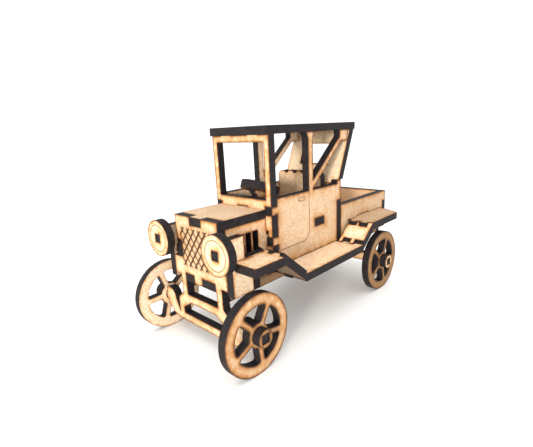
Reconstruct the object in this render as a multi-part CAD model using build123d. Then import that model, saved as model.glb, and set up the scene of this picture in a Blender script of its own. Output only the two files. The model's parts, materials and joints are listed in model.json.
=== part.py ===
from build123d import *
import os
from math import cos, hypot, radians, sin, tan

# A small pickup truck put together from flat pieces of 3 mm board.
# X runs across the truck (+X is the driver's left), Y runs from the bumper to the tailgate, Z is up.
# Every piece is drawn with y = 0 at the front of the radiator and is moved to the truck's origin at the end.

# Board
T = 3.0                  # thickness of the board
KERF = 0.05              # gap that the cutter leaves on each side of a finger
GROOVE_WIDTH = 0.45      # a deep engraved line
GROOVE_DEPTH = 0.3
FINE_WIDTH = 0.28        # a light engraved line
FINE_DEPTH = 0.15

# Widths, as half widths from the middle of the truck
RAIL_IN = 9.0
HOOD_HALF = 12.0
CAB_HALF = 15.0
SKIRT_HALF = 18.0
RUNNING_HALF = 27.5      # outer edge of the fenders, steps and running boards

# Lengths along Y
CAB_FRONT = 22.5
CAB_REAR = 67.5
BED_REAR = 110.5
FRONT_AXLE_Y = 1.5
REAR_AXLE_Y = 85.5
ORIGIN_Y = 49.0          # middle of the whole length

# Heights
RAIL_BOTTOM = 20.5
RAIL_TOP = 24.0
FLOOR_TOP = RAIL_TOP + T
SILL = 27.0              # top of the running boards, and bottom of the cab sides
SHOULDER_TOP = 33.2      # where the radiator narrows to the width of the hood
FRONT_FENDER_TOP = 36.5
REAR_FENDER_TOP = 35.0
HOOD_TOP = 49.0
BELT = 52.8              # top edge of the cab sides
BED_TOP = 43.0
ROOF_BOTTOM = 75.3

# Wheels
WHEEL_RADIUS = 14.0
WHEEL_ANGLES = {"front_left": 61, "front_right": 38, "rear_left": 67, "rear_right": 36}
RIM_IN = 10.1            # inner radius of the rim
BOSS_RADIUS = 4.3
SPOKES = 5
SPOKE_WIDTH = 2.1
SPOKE_FILLET = 0.8
HUB_RADIUS = 3.1
SHAFT_CLEARANCE = 0.06   # between the corners of the square tongue and the round bore
SIDE_CLEARANCE = 0.2     # on each side of a wheel
BORE_RADIUS = hypot(T, T) / 2 + SHAFT_CLEARANCE
WHEEL_OUT = 26.7
WHEEL_IN = WHEEL_OUT - T
HUB_IN = WHEEL_OUT + SIDE_CLEARANCE
TONGUE_END = HUB_IN + T - 0.3
ARM_END = WHEEL_IN - SIDE_CLEARANCE
HEAD_X = 21.5            # rounded end of an axle arm
HEAD_RADIUS = 4.0

# Fingers that two pieces share, each as a (low, high) pair
HOOD_TAB_HALF = 3.1                      # hood top through the radiator
COWL_TAB_HALF = 2.75                     # hood top through the windscreen panel
HOOD_FINGER_Z = (SHOULDER_TOP, 39.8)     # hood side through the radiator
COWL_FINGER_Z = (36.0, 40.0)             # hood side through the windscreen panel
COWL_SLOT_TOP = 41.0
CAB_FINGERS_Z = ((35.6, 38.7), (47.0, 50.0))     # cab side through the windscreen panel
FLOOR_FINGERS_X = ((-8.7, -3.6), (1.2, 8.4))     # cab floor through the radiator
BACK_WALL_STEP = 45.5                    # height where the cab side laps over the back wall
SEAT_TAB_Y = (48.3, 54.5)
SEAT_BOTTOM = 37.5
SEAT_FRONT_Y = 47.0
SEAT_BACK_Y = 57.0
SEAT_HALF = 11.8
SEAT_BACK_TAB_HALF = 3.0
FENDER_TAB_Y = (1.5, 5.0)
REAR_FENDER_TAB_Y = (82.0, 92.0)
ROOF_TAB_X = (4.0, 10.0)
COLUMN_TAB_Y = (29.5, 32.5)
TAILGATE_STEP = 38.0
LOWER_FINGERS_X = ((17.8, 21.4), (23.4, RUNNING_HALF))      # running board into a step
FRONT_LOWER_FINGERS_X = LOWER_FINGERS_X[:1]
UPPER_FINGERS_X = ((16.7, 20.0), (21.6, 25.3))              # fender into a step
STEP_FINGER = 2.0                        # length of the fingers at the ends of the steps
FRONT_STEP_FINGER = 1.0                  # the same for the fingers under the front steps

# Radiator
GRILLE_HALF = 9.6
GRILLE_Z = (30.3, 44.6)
GRILLE_PITCH = 3.2
GRILLE_SLOPE = 1.3
WINDOW_HALF = 8.7
LEG_HALF = 11.8
FLARE_HALF = 15.3

# Headlights
LAMP_RADIUS = 6.8
LAMP_RING_RADIUS = 5.0
LAMP_Z = 40.3
LAMP_FRONT = -5.3
LAMP_BACK = LAMP_FRONT + T
LAMP_X = (CAB_HALF + SKIRT_HALF) / 2

# Sloping steps: (y, z) at the two ends of the top surface
FRONT_STEP = ((14.5, 37.9), (26.0, 28.2))
REAR_STEP = ((64.0, 27.1), (74.0, 34.9))
REAR_STEP_IN = 16.0                      # its inner edge stands off the cab side

# Rear window panel
CANOPY_LEAN = 22.5
CANOPY_FOOT = (68.9, 53.9)               # a point on its rear face
CANOPY_NOTCH_TOP = 54.3                  # its lower corners rest on fingers of the cab sides
CANOPY_WINDOW_HALF = 8.0
CANOPY_WINDOW_Z = (60.5, 69.3)

# Steering
STEERING_CENTRE = (32.4, 54.7)
STEERING_RADIUS = 7.75
STEERING_TILT = 22.0
COLUMN_Y = (29.0, 33.0)
COLUMN_HEAD_Y = (28.0, 34.5)             # the head under the wheel is wider than the post
COLUMN_HEAD_Z = (53.1, 50.5)             # its lower edge, at those two places


def rect(u0, u1, v0, v1):
    """A rectangle between two pairs of coordinates."""
    return Pos((u0 + u1) / 2, (v0 + v1) / 2) * Rectangle(u1 - u0, v1 - v0)


def slot(u0, u1, v0, v1):
    """The hole that takes a finger of this size, with the cutter's gap all round."""
    return rect(u0 - KERF, u1 + KERF, v0 - KERF, v1 + KERF)


def outline(*points):
    """A closed shape with straight sides."""
    return make_face(Polyline(*points, close=True))


def both_sides(sketch):
    """A flat shape and its reflection in the vertical axis."""
    return sketch + mirror(sketch, about=Plane.YZ)


def sheet_x(sketch, x, thickness=T):
    """A board that faces sideways, drawn in (y, z), from x towards +X."""
    plane = Plane(origin=(x, 0, 0), x_dir=(0, 1, 0), z_dir=(1, 0, 0))
    return extrude(plane * sketch, amount=thickness)


def sheet_y(sketch, y, thickness=T):
    """A board that faces forwards, drawn in (x, z), from y towards +Y."""
    plane = Plane(origin=(0, y, 0), x_dir=(1, 0, 0), z_dir=(0, -1, 0))
    return extrude(plane * sketch, amount=-thickness)


def sheet_z(sketch, z, thickness=T):
    """A board that lies flat, drawn in (x, y), from z upwards."""
    return extrude(Plane.XY.offset(z) * sketch, amount=thickness)


def box(x_span, y_span, z_span):
    """A block between three pairs of coordinates."""
    return sheet_z(rect(*x_span, *y_span), z_span[0], z_span[1] - z_span[0])


def grille_lines(lean_side, width):
    """One family of parallel lines across the radiator; the lean side is +1 or -1."""
    field = rect(-GRILLE_HALF, GRILLE_HALF, *GRILLE_Z)
    middle = sum(GRILLE_Z) / 2
    reach = GRILLE_Z[1] - GRILLE_Z[0]
    run = reach / GRILLE_SLOPE
    count = int((GRILLE_HALF + run / 2) / GRILLE_PITCH)
    lines = Sketch()
    for k in range(-count, count + 1):
        x = k * GRILLE_PITCH
        line = Line((x - lean_side * run, middle - reach), (x + lean_side * run, middle + reach))
        lines += trace(line, line_width=width)
    return field & lines


def axle_arm():
    """The rounded head of an axle arm with the square tongue that carries the wheel and its hub."""
    head = Pos(HEAD_X, WHEEL_RADIUS) * Circle(HEAD_RADIUS)
    head -= rect(ARM_END, ARM_END + HEAD_RADIUS, 0, 2 * WHEEL_RADIUS)
    tongue = rect(HEAD_X, TONGUE_END, WHEEL_RADIUS - T / 2, WHEEL_RADIUS + T / 2)
    return head + tongue


def radiator_frame():
    """Front panel: radiator above, engine frame and front axle below, all in one board."""
    half = rect(0, HOOD_HALF, SHOULDER_TOP, HOOD_TOP)
    half += rect(0, CAB_HALF, 25.8, SHOULDER_TOP)
    half += outline((0, 26), (LEG_HALF, 26), (LEG_HALF, 18.5), (FLARE_HALF, 15.5), (FLARE_HALF, 9.5),
                    (17.6, 14.5), (HEAD_X, 14.5), (ARM_END, 14), (ARM_END, 11.4), (19.5, 7.4), (16, 6.5),
                    (0, 6.5))
    half += axle_arm()
    half -= rect(0, HOOD_TAB_HALF + KERF, HOOD_TOP - T, HOOD_TOP)
    half -= rect(RAIL_IN - KERF, HOOD_HALF, HOOD_FINGER_Z[0], HOOD_FINGER_Z[1] + KERF)
    half -= rect(0, WINDOW_HALF + KERF, 18.3, RAIL_TOP)
    half -= outline((0, 9.7), (12.2, 9.7), (12.2, 12), (7.2, 15), (0, 15))
    face = both_sides(half)
    for low, high in FLOOR_FINGERS_X:
        face -= slot(low, high, RAIL_TOP, FLOOR_TOP)
    panel = sheet_y(face, 0)
    panel -= sheet_y(grille_lines(1, GROOVE_WIDTH), 0, GROOVE_DEPTH)
    return panel - sheet_y(grille_lines(-1, FINE_WIDTH), 0, FINE_DEPTH)


def hood_top():
    """Flat lid of the engine, with one tab forwards and one through the windscreen panel."""
    lid = rect(-HOOD_HALF, HOOD_HALF, T, CAB_FRONT)
    lid += rect(-HOOD_TAB_HALF, HOOD_TAB_HALF, 0, T)
    lid += rect(-COWL_TAB_HALF, COWL_TAB_HALF, CAB_FRONT, CAB_FRONT + T)
    return sheet_z(lid, HOOD_TOP - T)


def hood_side():
    """Side of the engine with four upright louvres."""
    side = rect(T, CAB_FRONT, RAIL_TOP, HOOD_TOP - T)
    side += rect(0, T, *HOOD_FINGER_Z)
    side += rect(CAB_FRONT, CAB_FRONT + T, *COWL_FINGER_Z)
    for y in (5.3, 8.7, 12.1, 15.5):
        side -= rect(y, y + 2.4, 34.5, 42.5)
    return sheet_x(side, RAIL_IN)


def lamp_bracket():
    """Upright plate outside the engine: skirt below the fender, lamp arm and its tongue above."""
    top = FRONT_FENDER_TOP + 0.4
    plate = outline((0, 24.3), (8.9, 24.3), (8.9, 33), (14.5, 33), (14.5, top), (5.6, top), (5.6, 44.5),
                    (LAMP_BACK, 44.5), (LAMP_BACK, top - 2), (0, top - 2))
    plate += rect(LAMP_FRONT + 0.2, LAMP_BACK, LAMP_Z - T / 2, LAMP_Z + T / 2)
    plate -= slot(*FENDER_TAB_Y, FRONT_FENDER_TOP - T, FRONT_FENDER_TOP)
    return sheet_x(plate, CAB_HALF)


def headlight():
    """Round lamp pushed on the bracket's tongue, with an engraved ring for the lens."""
    face = Circle(LAMP_RADIUS) - slot(-T / 2, T / 2, -T / 2, T / 2)
    ring = Circle(LAMP_RING_RADIUS + FINE_WIDTH / 2) - Circle(LAMP_RING_RADIUS - FINE_WIDTH / 2)
    place = Pos(LAMP_X, LAMP_Z)
    return sheet_y(place * face, LAMP_FRONT) - sheet_y(place * ring, LAMP_FRONT, FINE_DEPTH)


def cross_piece():
    """Short board between the engine side and the bracket."""
    return sheet_y(rect(HOOD_HALF, SKIRT_HALF, 24.5, 31.5), 9)


def front_fender():
    """Flat board over the front wheel."""
    board = rect(SKIRT_HALF, RUNNING_HALF, 1, FRONT_STEP[0][0])
    board += rect(CAB_HALF, SKIRT_HALF, *FENDER_TAB_Y)
    for low, high in UPPER_FINGERS_X:
        board += rect(low, high, FRONT_STEP[0][0], FRONT_STEP[0][0] + STEP_FINGER)
    return sheet_z(board, FRONT_FENDER_TOP - T)


def running_board():
    """Step along the cab that also carries the cab side."""
    front, rear = FRONT_STEP[1][0], REAR_STEP[0][0]
    board = rect(HOOD_HALF, RUNNING_HALF, front, rear)
    for low, high in FRONT_LOWER_FINGERS_X:
        board += rect(low, high, front - FRONT_STEP_FINGER, front)
    for low, high in LOWER_FINGERS_X:
        board += rect(low, high, rear, rear + STEP_FINGER)
    return sheet_z(board, SILL - T)


def rear_fender():
    """Flat board over the rear wheel, cut off at a slant behind."""
    front = REAR_STEP[1][0]
    board = outline((CAB_HALF, front), (RUNNING_HALF, front), (RUNNING_HALF, 98.5), (CAB_HALF, 104.5))
    board = fillet(board.vertices().group_by(Axis.Y)[-2], 1.5)
    board += rect(HOOD_HALF, CAB_HALF, *REAR_FENDER_TAB_Y)
    for low, high in UPPER_FINGERS_X:
        board += rect(low, high, front - STEP_FINGER, front)
    return sheet_z(board, REAR_FENDER_TOP - T)


def sloping_step(line, inner, front_fingers, rear_fingers, rear_length=STEP_FINGER):
    """A sloping board with upright ends, notched for the fingers of its neighbours."""
    (y0, z0), (y1, z1) = line
    drop = T * hypot(y1 - y0, z1 - z0) / (y1 - y0)
    profile = outline((y0, z0), (y1, z1), (y1, z1 - drop), (y0, z0 - drop))
    step = sheet_x(profile, inner, RUNNING_HALF - inner)
    heights = (min(z0, z1) - T - drop, max(z0, z1) + T)
    for low, high in front_fingers:
        step -= box((low - KERF, high + KERF), (y0 - T, y0 + STEP_FINGER + KERF), heights)
    for low, high in rear_fingers:
        step -= box((low - KERF, high + KERF), (y1 - rear_length - KERF, y1 + T), heights)
    return step


def windscreen():
    """Panel between engine and cab, with the windscreen opening and two tabs into the roof."""
    half = rect(0, CAB_HALF, 32.5, ROOF_BOTTOM)
    half += rect(0, HOOD_HALF, FLOOR_TOP, 32.5)
    half += rect(*ROOF_TAB_X, ROOF_BOTTOM, ROOF_BOTTOM + T)
    half -= rect(0, 12.4, 52.5, 72.7)
    half -= rect(0, COWL_TAB_HALF + KERF, HOOD_TOP - T - KERF, HOOD_TOP + 0.3)
    half -= rect(RAIL_IN - KERF, HOOD_HALF + KERF, COWL_FINGER_Z[0] - KERF, COWL_SLOT_TOP)
    half -= rect(RAIL_IN, HOOD_HALF + 0.9, CAB_FINGERS_Z[0][1], COWL_SLOT_TOP)
    for low, high in CAB_FINGERS_Z:
        half -= slot(HOOD_HALF, CAB_HALF, low, high)
    return sheet_y(both_sides(half), CAB_FRONT)


def cab_side():
    """Door panel with the middle post and the slanted strut of the roof cut in one piece."""
    side = rect(CAB_FRONT + T, CAB_REAR - T, SILL, BELT)
    side += rect(CAB_REAR - T, CAB_REAR, BACK_WALL_STEP, BELT)
    for low, high in CAB_FINGERS_Z:
        side += rect(CAB_FRONT, CAB_FRONT + T, low, high)
    side += rect(44.5, 47.5, BELT, ROOF_BOTTOM)
    side += outline((44.5, 73), (47.5, 73), (48.5, ROOF_BOTTOM), (43.5, ROOF_BOTTOM))
    side += outline((46.5, 52.5), (68, 71), (68, 73.9), (46.5, 55.8))
    side += rect(66.5, 72.5, 70.6, ROOF_BOTTOM)
    side += rect(CAB_REAR - T, CAB_REAR, BELT, CANOPY_NOTCH_TOP - KERF)
    side -= slot(*SEAT_TAB_Y, SEAT_BOTTOM, SEAT_BOTTOM + T)
    panel = sheet_x(side, HOOD_HALF) - canopy_block(CANOPY_NOTCH_TOP, KERF)
    return panel - sheet_x(door_lines(), CAB_HALF - FINE_DEPTH, FINE_DEPTH)


def door_lines():
    """Engraved edge of the door and its handle."""
    bottom = Line((CAB_FRONT + T, 33), (40.3, 33))
    corner = JernArc(bottom @ 1, bottom % 1, 4.2, 90)
    rear = Line(corner @ 1, (44.5, BELT))
    lines = Sketch() + [trace(edge, line_width=FINE_WIDTH) for edge in (bottom, corner, rear)]
    length, height = 4.0, 1.6
    handle = Rectangle(length, height) - Rectangle(length - 2 * FINE_WIDTH, height - 2 * FINE_WIDTH)
    handle = Pos(40, 50.2) * handle
    return lines + handle


def canopy_block(low, gap=0):
    """The leaning sheet of the rear window, from a height up to the roof, across the whole cab."""
    foot_y, foot_z = CANOPY_FOOT
    slope = tan(radians(CANOPY_LEAN))
    depth = T / cos(radians(CANOPY_LEAN))
    low -= gap
    rear_low = foot_y + (low - foot_z) * slope + gap
    rear_high = foot_y + (ROOF_BOTTOM - foot_z) * slope + gap
    depth += 2 * gap
    profile = outline((rear_low, low), (rear_high, ROOF_BOTTOM), (rear_high - depth, ROOF_BOTTOM),
                      (rear_low - depth, low))
    return sheet_x(profile, -CAB_HALF, 2 * CAB_HALF)


def rear_canopy():
    """Leaning panel with the rear window."""
    wide = (CAB_REAR - 6 * T, CAB_REAR + 6 * T)
    window = box((-CANOPY_WINDOW_HALF, CANOPY_WINDOW_HALF), wide, CANOPY_WINDOW_Z)
    panel = canopy_block(BELT) - window
    for side in (-1, 1):
        corner = sorted((side * (HOOD_HALF + KERF), side * (CAB_HALF + T)))
        panel -= box(corner, wide, (BELT - T, CANOPY_NOTCH_TOP))
    return panel


def cab_back_wall():
    """Upright wall behind the seat."""
    half = rect(0, HOOD_HALF, RAIL_TOP, BELT)
    half += rect(HOOD_HALF, CAB_HALF, SILL, BACK_WALL_STEP)
    return sheet_y(both_sides(half), CAB_REAR - T)


def roof():
    """Flat roof with slots for the windscreen panel's tabs."""
    board = rect(-CAB_HALF, CAB_HALF, 20.5, 80)
    board = fillet(board.vertices(), 1.8)
    for low, high in (ROOF_TAB_X, (-ROOF_TAB_X[1], -ROOF_TAB_X[0])):
        board -= slot(low, high, CAB_FRONT, CAB_FRONT + T)
    return sheet_z(board, ROOF_BOTTOM)


def seat_base():
    """Seat board, with a tenon through each cab side and one through the seat back."""
    board = rect(-HOOD_HALF, HOOD_HALF, SEAT_FRONT_Y, SEAT_BACK_Y)
    board += rect(-CAB_HALF, CAB_HALF, *SEAT_TAB_Y)
    board += rect(-SEAT_BACK_TAB_HALF, SEAT_BACK_TAB_HALF, SEAT_BACK_Y, SEAT_BACK_Y + T)
    return sheet_z(board, SEAT_BOTTOM)


def seat_back():
    """Upright seat back with rounded corners and four small dips in its top edge."""
    top = 58.5
    board = rect(-SEAT_HALF, SEAT_HALF, FLOOR_TOP, top)
    board = fillet(board.vertices().group_by(Axis.Y)[-1], 2.5)
    board -= slot(-SEAT_BACK_TAB_HALF, SEAT_BACK_TAB_HALF, SEAT_BOTTOM, SEAT_BOTTOM + T)
    for x in (-7, -2.3, 2.3, 7):
        board -= Pos(x, top + 0.2) * Circle(1.1)
    return sheet_y(board, SEAT_BACK_Y)


def seat_front():
    """Upright board under the front edge of the seat."""
    return sheet_y(rect(-SEAT_HALF, SEAT_HALF, FLOOR_TOP, SEAT_BOTTOM), SEAT_FRONT_Y)


def cab_floor():
    """Floor from the radiator to the back wall, lying on the rails."""
    board = rect(-RAIL_IN, RAIL_IN, T, CAB_FRONT)
    board += rect(-HOOD_HALF, HOOD_HALF, CAB_FRONT, CAB_REAR - T)
    for low, high in FLOOR_FINGERS_X:
        board += rect(low, high, 0, T)
    board -= slot(-T / 2, T / 2, *COLUMN_TAB_Y)
    return sheet_z(board, RAIL_TOP)


def chassis_rail():
    """Long upright rail under the floor."""
    return sheet_x(rect(T, BED_REAR - T, RAIL_BOTTOM, RAIL_TOP), RAIL_IN)


def bed_floor():
    """Floor of the load bed."""
    return sheet_z(rect(-HOOD_HALF, HOOD_HALF, CAB_REAR, BED_REAR - T), RAIL_TOP)


def bed_side():
    """Side of the load bed."""
    side = rect(CAB_REAR, BED_REAR - T, RAIL_TOP, BED_TOP)
    side += rect(BED_REAR - T, BED_REAR, TAILGATE_STEP, BED_TOP)
    side -= slot(*REAR_FENDER_TAB_Y, REAR_FENDER_TOP - T, REAR_FENDER_TOP)
    return sheet_x(side, HOOD_HALF)


def tailgate():
    """Rear end of the load bed."""
    half = rect(0, HOOD_HALF, RAIL_BOTTOM, BED_TOP)
    half += rect(HOOD_HALF, CAB_HALF, RAIL_TOP, TAILGATE_STEP)
    return sheet_y(both_sides(half), BED_REAR - T)


def rear_axle_frame():
    """Cross frame under the rails with the two arms of the rear axle."""
    half = rect(0, HOOD_HALF + T, 12.5, RAIL_BOTTOM)
    half += rect(0, RAIL_IN, RAIL_BOTTOM, RAIL_TOP)
    half += rect(0, HEAD_X, 12.5, 16.5)
    half += axle_arm()
    return sheet_y(both_sides(half), REAR_AXLE_Y - T / 2)


def steering_frame():
    """The plane of the steering wheel: its centre, with its normal along the column."""
    y, z = STEERING_CENTRE
    tilt = radians(STEERING_TILT)
    return Plane(origin=(0, y, z), x_dir=(1, 0, 0), z_dir=(0, sin(tilt), cos(tilt)))


def steering_column():
    """Post from the floor, with a wider head cut at the wheel's slant and a square peg for the wheel."""
    top = STEERING_CENTRE[1] + T
    side = rect(*COLUMN_Y, FLOOR_TOP, STEERING_CENTRE[1])
    side += outline((COLUMN_HEAD_Y[0], COLUMN_HEAD_Z[0]), (COLUMN_HEAD_Y[1], COLUMN_HEAD_Z[1]),
                    (COLUMN_HEAD_Y[1], top), (COLUMN_HEAD_Y[0], top))
    post = sheet_x(side, -T / 2)
    upwards = (Align.CENTER, Align.CENTER, Align.MIN)
    above = steering_frame().offset(-T / 2) * Box(6 * T, 6 * T, 6 * T, align=upwards)
    peg = steering_frame().offset(-T) * Box(T, T, 1.4 * T, align=upwards)
    foot_tab = box((-T / 2, T / 2), COLUMN_TAB_Y, (RAIL_TOP, FLOOR_TOP))
    return (post - above) + peg + foot_tab


def steering_wheel():
    """Ring with three spokes, pushed on the column's peg."""
    plate = Circle(STEERING_RADIUS) - Circle(STEERING_RADIUS - 2.2)
    plate += Circle(3)
    spoke = rect(0, STEERING_RADIUS - 1, -1, 1)
    for k in range(3):
        plate += Rot(0, 0, 90 + 120 * k) * spoke
    plate -= slot(-T / 2, T / 2, -T / 2, T / 2)
    return extrude(steering_frame().offset(-T / 2) * plate, amount=T)


def spoke_window():
    """One opening between two spokes, on the +X side of a wheel's centre."""
    half_turn = 180 / SPOKES
    ring = Circle(RIM_IN) - Circle(BOSS_RADIUS)
    reach = 2 * RIM_IN
    edge = tan(radians(half_turn)) * reach
    inset = SPOKE_WIDTH / 2 / sin(radians(half_turn))
    wedge = outline((inset, 0), (inset + reach, edge), (inset + reach, -edge))
    opening = ring & wedge
    return fillet(opening.vertices(), SPOKE_FILLET)


def road_wheel(corner):
    """Spoked disc on the left side of the truck, turned to the angle of one of its spokes."""
    disc = Circle(WHEEL_RADIUS) - Circle(BORE_RADIUS)
    window = spoke_window()
    for k in range(SPOKES):
        turn = WHEEL_ANGLES[corner] + (k + 0.5) * 360 / SPOKES
        disc -= Rot(0, 0, turn) * window
    y = FRONT_AXLE_Y if corner.startswith("front") else REAR_AXLE_Y
    return sheet_x(Pos(y, WHEEL_RADIUS) * disc, WHEEL_IN)


def wheel_hub(y):
    """Round cap pushed on the end of the tongue to hold a wheel."""
    cap = Circle(HUB_RADIUS) - slot(-T / 2, T / 2, -T / 2, T / 2)
    return sheet_x(Pos(y, WHEEL_RADIUS) * cap, HUB_IN)


def single_pieces():
    return {
        "radiator_frame": radiator_frame(),
        "hood_top": hood_top(),
        "windscreen_panel": windscreen(),
        "roof": roof(),
        "rear_window_panel": rear_canopy(),
        "cab_back_wall": cab_back_wall(),
        "cab_floor": cab_floor(),
        "seat_base": seat_base(),
        "seat_back": seat_back(),
        "seat_front": seat_front(),
        "steering_column": steering_column(),
        "steering_wheel": steering_wheel(),
        "bed_floor": bed_floor(),
        "tailgate": tailgate(),
        "rear_axle_frame": rear_axle_frame(),
    }


def left_pieces():
    """Pieces that come in a left and a right copy."""
    return {
        "hood_side": hood_side(),
        "lamp_bracket": lamp_bracket(),
        "headlight": headlight(),
        "cross_piece": cross_piece(),
        "front_fender": front_fender(),
        "front_step": sloping_step(FRONT_STEP, CAB_HALF, UPPER_FINGERS_X, FRONT_LOWER_FINGERS_X,
                                   FRONT_STEP_FINGER),
        "running_board": running_board(),
        "rear_step": sloping_step(REAR_STEP, REAR_STEP_IN, LOWER_FINGERS_X, UPPER_FINGERS_X),
        "rear_fender": rear_fender(),
        "cab_side": cab_side(),
        "bed_side": bed_side(),
        "chassis_rail": chassis_rail(),
    }


def rolling_pieces():
    pieces = {}
    for corner in WHEEL_ANGLES:
        wheel = road_wheel(corner)
        hub = wheel_hub(FRONT_AXLE_Y if corner.startswith("front") else REAR_AXLE_Y)
        if corner.endswith("right"):
            wheel = mirror(wheel, about=Plane.YZ)
            hub = mirror(hub, about=Plane.YZ)
        pieces["wheel_" + corner] = wheel
        pieces["hub_" + corner] = hub
    return pieces


def all_pieces():
    pieces = single_pieces()
    for name, shape in left_pieces().items():
        pieces[name + "_left"] = shape
        pieces[name + "_right"] = mirror(shape, about=Plane.YZ)
    pieces.update(rolling_pieces())
    return pieces


os.makedirs("parts", exist_ok=True)
for node, shape in all_pieces().items():
    export_step(Pos(0, -ORIGIN_Y, 0) * shape, "parts/" + node + ".step")
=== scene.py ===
import json
from math import radians

import bmesh
import bpy
import numpy as np
from mathutils import Matrix, Vector


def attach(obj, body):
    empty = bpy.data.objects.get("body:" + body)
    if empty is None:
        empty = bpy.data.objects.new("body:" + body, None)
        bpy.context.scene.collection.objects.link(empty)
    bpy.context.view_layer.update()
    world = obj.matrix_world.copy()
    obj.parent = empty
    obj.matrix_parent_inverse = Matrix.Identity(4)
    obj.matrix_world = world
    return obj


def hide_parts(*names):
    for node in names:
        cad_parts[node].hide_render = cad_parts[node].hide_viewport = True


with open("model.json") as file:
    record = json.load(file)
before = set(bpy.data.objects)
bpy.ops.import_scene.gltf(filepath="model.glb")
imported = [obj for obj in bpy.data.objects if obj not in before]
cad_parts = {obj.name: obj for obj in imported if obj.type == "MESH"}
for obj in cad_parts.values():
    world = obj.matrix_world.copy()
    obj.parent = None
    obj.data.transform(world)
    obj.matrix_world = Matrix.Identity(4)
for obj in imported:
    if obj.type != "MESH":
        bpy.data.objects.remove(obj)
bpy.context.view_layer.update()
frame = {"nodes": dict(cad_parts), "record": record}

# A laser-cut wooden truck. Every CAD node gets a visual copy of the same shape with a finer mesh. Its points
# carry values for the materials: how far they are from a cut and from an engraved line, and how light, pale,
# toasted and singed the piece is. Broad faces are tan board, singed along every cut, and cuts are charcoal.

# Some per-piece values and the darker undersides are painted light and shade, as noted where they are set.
MM = 0.001

# Mesh of the copies
CELL = 0.7 * MM              # grid that carries the singed rim
CELL_OF = {"hub": 0.25 * MM, "wheel": 0.5 * MM, "headlight": 0.5 * MM}     # finer on small or slender pieces
SAME_POINT = 1e-7            # points nearer than this are one, in metres
NO_LENGTH = 1e-18            # keeps a segment without length from dividing by zero
FLAT = radians(0.5)          # faces that meet at less than this are one flat face
SHARP = radians(30)          # an edge sharper than this is a cut
BROAD = 0.9                  # |cosine| between a face and the sheet's own direction
FINE = 0.08 * MM             # a broad face lower than this below the surface is a light engraving,
DEEP = 0.2 * MM              # lower than this a deep one
DEEPEST = 0.4 * MM           # and lower than this no engraving at all
WALL = 1.0 * MM              # a side face taller than this is a cut right through the board
FAR = 20 * MM                # distances are capped at this
GROOVE_REACH = 0.17          # side faces nearer than this to engraved lines, in mm, are their walls
UNDERSIDE = -0.55            # a broad face whose normal points down more than this is an underside, darkened as smoke stain and painted shade

# Material slots of every copy, in their order
ON_FACE, ON_CUT, ON_DEEP_LINE, ON_FINE_LINE, ON_UNDERSIDE = range(5)

# Camera of the main view, close to the truck and with a wide lens
CAMERA_PLACE = Vector((101.26, -118.52, 77.08)) * MM
CAMERA_AZIMUTH = 44.06
CAMERA_PITCH = -14.53
CAMERA_ROLL = -2.80
CAMERA_LENS = 24.63
SENSOR = 36.0
CAMERA_CLIP = 0.01           # nearest thing that it sees, in metres

# Studio: an even white world, a warm low softbox in front and a weak one above
WORLD_STRENGTH = 1.25
WARM = (1.0, 0.94, 0.84)
FLOOR_HALF = 3.0             # half the side of the floor, in metres

# How light the faces of single pieces are (1 is neutral)
TONE = {
    "wheel_front_left": 0.84, "wheel_rear_left": 0.43, "wheel_rear_right": 0.8, "cab_side_left": 0.84,
    "hub_front_left": 0.72, "hub_rear_left": 0.85, "bed_side_left": 0.78, "rear_fender_left": 0.74,
    # cab_side_right: its high tone is painted light, for its inner face lit through the windscreen
    "hood_top": 0.93, "cab_side_right": 1.08, "running_board_left": 1.12, "front_fender_left": 1.12,
    # chassis rails: their low tone is painted shade, as they sit in shadow under the floor and fenders
    "lamp_bracket_left": 1.10, "rear_step_left": 1.08, "chassis_rail_left": 0.5, "chassis_rail_right": 0.5,
    "radiator_frame": 0.95,
}
# How far they go towards cream (0 is not at all)
PALE = {
    "wheel_front_right": 0.85, "lamp_bracket_left": 0.9, "lamp_bracket_right": 0.9, "rear_window_panel": 0.6,
    "radiator_frame": 0.25, "headlight_left": 0.35, "headlight_right": 0.2, "seat_back": 0.2,
    # cab_side_right: its paleness is painted light as well
    "running_board_left": 0.3, "front_fender_left": 0.2, "rear_step_left": 0.6, "cab_side_right": 0.8,
    "hub_rear_left": 0.4,
}
# How far they go towards a toasted orange brown (0 is not at all)
TOAST = {
    "wheel_front_left": 0.25, "wheel_rear_left": 0.95, "wheel_rear_right": 0.4, "hub_front_left": 1.0,
    "hub_front_right": 0.6, "hub_rear_left": 0.15, "hub_rear_right": 0.5, "rear_fender_left": 0.2,
    # chassis rails: their toast is painted shade as well, with their low tone
    "chassis_rail_left": 0.6, "chassis_rail_right": 0.6,
}
# How wide the singed rims along their cuts are (1 is neutral)
SINGE = {
    "wheel_front_left": 1.8, "wheel_front_right": 0.4, "wheel_rear_left": 1.6, "wheel_rear_right": 1.2,
    "hub_front_left": 1.5, "hub_front_right": 1.0, "hub_rear_left": 0.5, "hub_rear_right": 0.6,
    # cab_side_right: its weak singe is painted light as well
    "cab_side_left": 1.5, "cab_side_right": 0.5, "bed_side_left": 1.3, "rear_fender_left": 1.3,
    "radiator_frame": 1.25, "lamp_bracket_left": 0.5, "lamp_bracket_right": 0.5, "windscreen_panel": 1.25,
    "rear_window_panel": 0.5, "hood_top": 0.7, "seat_back": 0.7,
}
# How far and how strongly their engraved lines singed the face (1 is neutral); these lines are the deep ones
ETCH = {"radiator_frame": 4.0}
OWN_VALUES = (("etch", ETCH, 1.0), ("tone", TONE, 1.0), ("singe", SINGE, 1.0), ("pale", PALE, 0.0),
              ("toast", TOAST, 0.0))


# ---------------------------------------------------------------- materials

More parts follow.
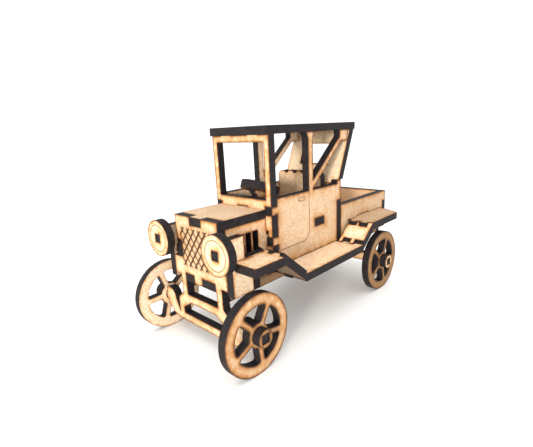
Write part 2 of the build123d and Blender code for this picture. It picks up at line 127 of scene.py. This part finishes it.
class Nodes:
    """Short calls for building one material's node tree."""

    def __init__(self, name):
        self.material = bpy.data.materials.new(name)
        self.material.use_nodes = True
        self.tree = self.material.node_tree
        self.shader = self.tree.nodes["Principled BSDF"]

    def add(self, kind, **settings):
        """A new shader node of this kind."""
        node = self.tree.nodes.new("ShaderNode" + kind)
        for key, value in settings.items():
            setattr(node, key, value)
        return node

    def link(self, out, into):
        """Joins an output to an input."""
        self.tree.links.new(out, into)

    def value(self, attribute):
        """A value that store() put on the mesh."""
        return self.add("Attribute", attribute_name=attribute).outputs["Fac"]

    def place(self, scale):
        """Object position in millimetres, times a scale for each axis."""
        coords = self.add("TexCoord").outputs["Object"]
        mapping = self.add("Mapping")
        mapping.inputs["Scale"].default_value = [s / MM for s in scale]
        self.link(coords, mapping.inputs["Vector"])
        return mapping.outputs["Vector"]

    def noise(self, place, scale, detail, rough):
        """A noise value around 0.5, of this many waves per millimetre."""
        node = self.add("TexNoise")
        node.inputs["Scale"].default_value = scale
        node.inputs["Detail"].default_value = detail
        node.inputs["Roughness"].default_value = rough
        self.link(place, node.inputs["Vector"])
        return node.outputs["Fac"]

    def math(self, operation, a, b=None, c=None):
        """Arithmetic on numbers or outputs."""
        node = self.add("Math", operation=operation)
        for socket, given in zip(node.inputs, (a, b, c)):
            if given is None:
                continue
            if isinstance(given, (int, float)):
                socket.default_value = given
            else:
                self.link(given, socket)
        return node.outputs[0]

    def ramp(self, value, low, high, at_low=0.0, at_high=1.0):
        """at_low below low, at_high above high, smooth between."""
        node = self.add("MapRange", interpolation_type="SMOOTHSTEP")
        for key, number in (("From Min", low), ("From Max", high), ("To Min", at_low), ("To Max", at_high)):
            node.inputs[key].default_value = number
        self.link(value, node.inputs["Value"])
        return node.outputs["Result"]

    def mix(self, factor, a, b, blend="MIX"):
        """Colour a where the factor is 0, towards b where it is 1."""
        node = self.add("Mix", data_type="RGBA", blend_type=blend)
        colours = [s for s in node.inputs if s.type == "RGBA"]
        for socket, given in zip((node.inputs["Factor"], *colours), (factor, a, b)):
            if isinstance(given, (int, float)):
                socket.default_value = given
            elif isinstance(given, tuple):
                socket.default_value = (*given, 1)
            else:
                self.link(given, socket)
        return [s for s in node.outputs if s.type == "RGBA"][0]

    def bump(self, height, strength, distance):
        """Fine relief on the shader, no more than distance deep."""
        node = self.add("Bump")
        node.inputs["Strength"].default_value = strength
        node.inputs["Distance"].default_value = distance
        self.link(height, node.inputs["Height"])
        self.link(node.outputs["Normal"], self.shader.inputs["Normal"])


CREAM = (0.93, 0.77, 0.56)
TOASTED = (0.62, 0.33, 0.11)
SMOKED = (0.60, 0.30, 0.095)
SCORCHED = (0.44, 0.17, 0.036)
BURNT = (0.075, 0.030, 0.013)


def board_face(name, light, dark, shade=1.0):
    """Broad face of the board: mottled tan fibres, singed brown and orange beside every cut."""
    n = Nodes(name)
    here = n.place((1, 1, 1))
    clouds = n.noise(here, 0.12, 4, 0.65)
    fibres = n.noise(here, 2.2, 4, 0.7)
    specks = n.noise(here, 5.5, 2, 0.6)
    patches = n.noise(here, 0.95, 5, 0.75)
    base = n.mix(n.ramp(clouds, 0.3, 0.7), dark, light)
    base = n.mix(n.value("pale"), base, CREAM)
    base = n.mix(n.value("toast"), base, TOASTED)
    base = n.mix(n.ramp(patches, 0.30, 0.52, 0.6, 0.0), base, (0.50, 0.30, 0.16))
    base = n.mix(n.ramp(patches, 0.50, 0.66, 0.0, 0.6), base, (0.93, 0.76, 0.56))
    base = n.mix(n.ramp(fibres, 0.34, 0.60, 0.40, 0.0), base, (0.36, 0.19, 0.09))
    base = n.mix(n.ramp(specks, 0.60, 0.72, 0.0, 0.40), base, (0.30, 0.15, 0.065))

    # distance from the nearest cut in mm, made uneven and divided by how singed the piece is
    uneven = n.noise(here, 0.30, 5, 0.7)
    ragged = n.math("MULTIPLY_ADD", uneven, 3.0, -0.5)
    distance = n.math("DIVIDE", n.value("cut_mm"), n.math("MULTIPLY", n.value("singe"), ragged))
    smoke = n.math("MULTIPLY", n.ramp(distance, 0.2, 3.0, 1.0, 0.0), n.ramp(uneven, 0.35, 0.65, 0.15, 0.85))
    base = n.mix(smoke, base, SMOKED)
    base = n.mix(n.ramp(distance, 0.1, 1.05, 0.85, 0.0), base, SCORCHED)
    base = n.mix(n.ramp(distance, 0.08, 0.42, 0.9, 0.0), base, BURNT)

    # the same beside engraved lines, as far and as strongly as the piece's etch says
    etch = n.value("etch")
    distance = n.math("DIVIDE", n.value("line_mm"), etch)
    strength = n.math("MULTIPLY_ADD", etch, 0.15, 0.15)
    singed = n.math("MULTIPLY", n.ramp(distance, 0.0, 0.4, 1.0, 0.0), strength)
    base = n.mix(singed, base, (0.43, 0.22, 0.085))
    base = n.mix(n.ramp(distance, 0.02, 0.05, 0.8, 0.0), base, (0.06, 0.03, 0.015))

    # the piece's own tone, times shade: below 1 this is smoke stain and painted shade on undersides
    tone = n.add("CombineColor")
    for socket in tone.inputs:
        n.link(n.math("MULTIPLY", n.value("tone"), shade), socket)
    colour = n.mix(1.0, base, tone.outputs["Color"], "MULTIPLY")
    n.link(colour, n.shader.inputs["Base Color"])
    n.link(n.ramp(fibres, 0.3, 0.7, 0.62, 0.82), n.shader.inputs["Roughness"])
    n.shader.inputs["Specular IOR Level"].default_value = 0.35
    n.bump(n.math("ADD", fibres, n.math("MULTIPLY", specks, 0.5)), 0.35, 0.05 * MM)
    return n.material


def board_cut(name, stretch):
    """Charred cut: near-black with fine streaks that run through the board's thickness."""
    n = Nodes(name)
    streaks = n.noise(n.place(stretch), 2.6, 3, 0.6)
    soot = n.noise(n.place((1, 1, 1)), 0.5, 4, 0.7)
    grit = n.noise(n.place((1, 1, 1)), 6.0, 2, 0.6)
    base = n.mix(n.ramp(soot, 0.3, 0.7), (0.007, 0.0055, 0.006), (0.020, 0.0155, 0.017))
    base = n.mix(n.ramp(streaks, 0.5, 0.75, 0.0, 0.6), base, (0.040, 0.032, 0.034))
    base = n.mix(n.ramp(grit, 0.62, 0.75, 0.0, 0.5), base, (0.060, 0.041, 0.030))
    n.link(base, n.shader.inputs["Base Color"])
    n.link(n.ramp(soot, 0.3, 0.7, 0.6, 0.8), n.shader.inputs["Roughness"])
    n.shader.inputs["Specular IOR Level"].default_value = 0.18
    n.bump(n.math("ADD", streaks, n.math("MULTIPLY", grit, 0.4)), 0.5, 0.08 * MM)
    return n.material


def engraving(name, dark, light):
    """Floor and walls of an engraved line."""
    n = Nodes(name)
    here = n.place((1, 1, 1))
    soot = n.noise(here, 1.6, 4, 0.7)
    base = n.mix(n.ramp(soot, 0.3, 0.7), dark, light)
    n.link(base, n.shader.inputs["Base Color"])
    n.link(n.ramp(soot, 0.3, 0.7, 0.7, 0.9), n.shader.inputs["Roughness"])
    n.bump(soot, 0.4, 0.05 * MM)
    return n.material


THROUGH = 0.12               # scale of the streaks through the board, which draws them out that way
FACE = board_face("board_face", (0.82, 0.595, 0.39), (0.72, 0.505, 0.315))
CUTS = [board_cut("board_cut_" + axis, [THROUGH if k == i else 1 for k in range(3)])
        for i, axis in enumerate("xyz")]
# undersides: the laser's smoke stain, darkened further by painted shade
UNDER = board_face("board_underside_smoke_and_shade", (0.62, 0.47, 0.30), (0.50, 0.36, 0.22), 0.30)
DEEP_LINES = engraving("engraved_deep", (0.020, 0.011, 0.008), (0.10, 0.048, 0.022))
FINE_LINES = engraving("engraved_fine", (0.20, 0.10, 0.042), (0.55, 0.36, 0.20))


# ---------------------------------------------------------------- fine copies of the sheets

def clean_mesh(source):
    """The node's mesh with its triangles joined back to whole flat faces."""
    bm = bmesh.new()
    bm.from_mesh(source.data)
    bmesh.ops.remove_doubles(bm, verts=bm.verts, dist=SAME_POINT)
    bmesh.ops.dissolve_limit(bm, angle_limit=FLAT, verts=bm.verts, edges=bm.edges)
    bm.normal_update()
    return bm


def sheet_normal(bm):
    """The direction through the board: that of its largest face."""
    return max(bm.faces, key=lambda f: f.calc_area()).normal.copy()


def tallest_wall(edge, normal):
    """How far the tallest side face beside an edge reaches through the board."""
    spans = [0.0]
    for face in edge.link_faces:
        if abs(face.normal.dot(normal)) < BROAD:
            heights = [v.co.dot(normal) for v in face.verts]
            spans.append(max(heights) - min(heights))
    return max(spans)


def sharp_segments(bm, normal):
    """Both ends of every sharp edge: first those of cuts, then those of engraved lines."""
    sharp = [e for e in bm.edges if len(e.link_faces) == 2 and e.calc_face_angle(0) > SHARP]
    cuts = [e for e in sharp if tallest_wall(e, normal) > WALL]
    lines = [e for e in sharp if tallest_wall(e, normal) <= WALL]
    return [[(np.array(e.verts[0].co), np.array(e.verts[1].co)) for e in group] for group in (cuts, lines)]


def cell_grid(bm, cell):
    """Cuts the mesh along an even grid, so that values stored on its corners follow the edges closely."""
    for axis in range(3):
        span = [v.co[axis] for v in bm.verts]
        low, high = min(span), max(span)
        steps = int((high - low) / cell)
        normal = Vector([1.0 if i == axis else 0.0 for i in range(3)])
        for k in range(1, steps):
            point = normal * (low + (high - low) * k / steps)
            bmesh.ops.bisect_plane(bm, geom=[*bm.verts, *bm.edges, *bm.faces], dist=SAME_POINT,
                                   plane_co=point, plane_no=normal)


def distances(points, segments):
    """For each point, how far it is from the nearest segment."""
    nearest = np.full(len(points), FAR)
    for a, b in segments:
        along = b - a
        t = np.clip((points - a) @ along / max(along @ along, NO_LENGTH), 0, 1)
        nearest = np.minimum(nearest, np.linalg.norm(points - a - t[:, None] * along, axis=1))
    return nearest


def store(mesh, name, values):
    """Puts one number on every point of the mesh, for the materials to read."""
    layer = mesh.attributes.new(name, "FLOAT", "POINT")
    layer.data.foreach_set("value", np.asarray(values, np.float32))


def broad_slot(depth):
    """Material slot of a broad face that lies this far below the surface."""
    if depth > DEEPEST:
        return ON_CUT
    if depth > DEEP:
        return ON_DEEP_LINE
    return ON_FINE_LINE if depth > FINE else ON_FACE


def piece_from(node, body):
    """A fine copy of one CAD node that stands for it, with its materials."""
    source = frame["nodes"][node]
    bm = clean_mesh(source)
    normal = sheet_normal(bm)
    cuts, lines = sharp_segments(bm, normal)
    heights = [v.co.dot(normal) for v in bm.verts]
    low, high = min(heights), max(heights)
    cell_grid(bm, CELL_OF.get(node.split("_")[0], CELL))
    bmesh.ops.triangulate(bm, faces=bm.faces)
    bm.verts.index_update()
    points = np.array([v.co for v in bm.verts])
    to_cut, to_line = distances(points, cuts) / MM, distances(points, lines) / MM
    streak_axis = max(range(3), key=lambda i: abs(normal[i]))
    groove_slot = ON_DEEP_LINE if node in ETCH else ON_FINE_LINE
    for face in bm.faces:
        height = face.calc_center_median().dot(normal)
        if abs(face.normal.dot(normal)) < BROAD:
            in_groove = max(to_line[v.index] for v in face.verts) < GROOVE_REACH
            face.material_index = groove_slot if in_groove else ON_CUT
        else:
            face.material_index = broad_slot(min(abs(height - low), abs(height - high)))
            # downward broad faces take the underside material, whose darkness is partly smoke stain and
            # partly painted shade
            if face.material_index == ON_FACE and face.normal.z < UNDERSIDE:
                face.material_index = ON_UNDERSIDE
    mesh = bpy.data.meshes.new(node + "_board")
    bm.to_mesh(mesh)
    bm.free()
    for material in (FACE, CUTS[streak_axis], DEEP_LINES, FINE_LINES, UNDER):
        mesh.materials.append(material)
    store(mesh, "cut_mm", to_cut)
    store(mesh, "line_mm", to_line)
    for name, table, neutral in OWN_VALUES:
        store(mesh, name, np.full(len(points), table.get(node, neutral)))
    piece = bpy.data.objects.new(node + "_board", mesh)
    bpy.context.scene.collection.objects.link(piece)
    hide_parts(node)
    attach(piece, body)


for body, nodes in frame["record"]["behaviour"]["bodies"].items():
    for node in nodes:
        piece_from(node, body)


# ---------------------------------------------------------------- floor, light and camera

def pale_floor():
    """A plain pale floor, wide enough for every view."""
    corners = [(x * FLOOR_HALF, y * FLOOR_HALF, 0) for x, y in ((-1, -1), (1, -1), (1, 1), (-1, 1))]
    mesh = bpy.data.meshes.new("floor")
    mesh.from_pydata(corners, [], [(0, 1, 2, 3)])
    n = Nodes("pale_floor")
    grain = n.noise(n.place((1, 1, 1)), 0.02, 3, 0.5)
    white = n.mix(n.ramp(grain, 0.3, 0.7), (0.97, 0.97, 0.97), (0.98, 0.98, 0.98))
    n.link(white, n.shader.inputs["Base Color"])
    n.shader.inputs["Roughness"].default_value = 0.9
    mesh.materials.append(n.material)
    floor = bpy.data.objects.new("floor", mesh)
    bpy.context.scene.collection.objects.link(floor)


def softbox(name, place, aim, size, power, colour=(1, 1, 1)):
    """A square lamp of this size that faces a point."""
    light = bpy.data.lights.new(name, "AREA")
    light.shape = "RECTANGLE"
    light.size = light.size_y = size
    light.energy = power
    light.color = colour
    holder = bpy.data.objects.new(name, light)
    bpy.context.scene.collection.objects.link(holder)
    holder.location = place
    holder.rotation_mode = "QUATERNION"
    holder.rotation_quaternion = (Vector(aim) - Vector(place)).to_track_quat("-Z", "Y")


def world_light(strength):
    """The same white light from all around."""
    world = bpy.data.worlds.new("studio")
    world.use_nodes = True
    background = world.node_tree.nodes["Background"]
    background.inputs["Color"].default_value = (1, 1, 1, 1)
    background.inputs["Strength"].default_value = strength
    bpy.context.scene.world = world


def camera():
    """Stands at CAMERA_PLACE, turned by its azimuth, pitch and roll."""
    data = bpy.data.cameras.new("camera")
    data.sensor_width = SENSOR
    data.lens = CAMERA_LENS
    data.clip_start = CAMERA_CLIP
    holder = bpy.data.objects.new("camera", data)
    bpy.context.scene.collection.objects.link(holder)
    turn = Matrix.Rotation(radians(CAMERA_AZIMUTH), 4, "Z")
    tilt = Matrix.Rotation(radians(90 + CAMERA_PITCH), 4, "X")
    roll = Matrix.Rotation(radians(CAMERA_ROLL), 4, "Z")
    holder.matrix_world = Matrix.Translation(CAMERA_PLACE) @ turn @ tilt @ roll
    bpy.context.scene.camera = holder


pale_floor()
world_light(WORLD_STRENGTH)
softbox("key", place=(0.342, -0.823, 0.165), aim=(0, 0, 0.04), size=0.14, power=7.0, colour=WARM)
softbox("top", place=(0.1, -0.3, 0.9), aim=(0, 0, 0.03), size=0.5, power=1.5)
camera()
bpy.context.scene.view_settings.view_transform = "Standard"
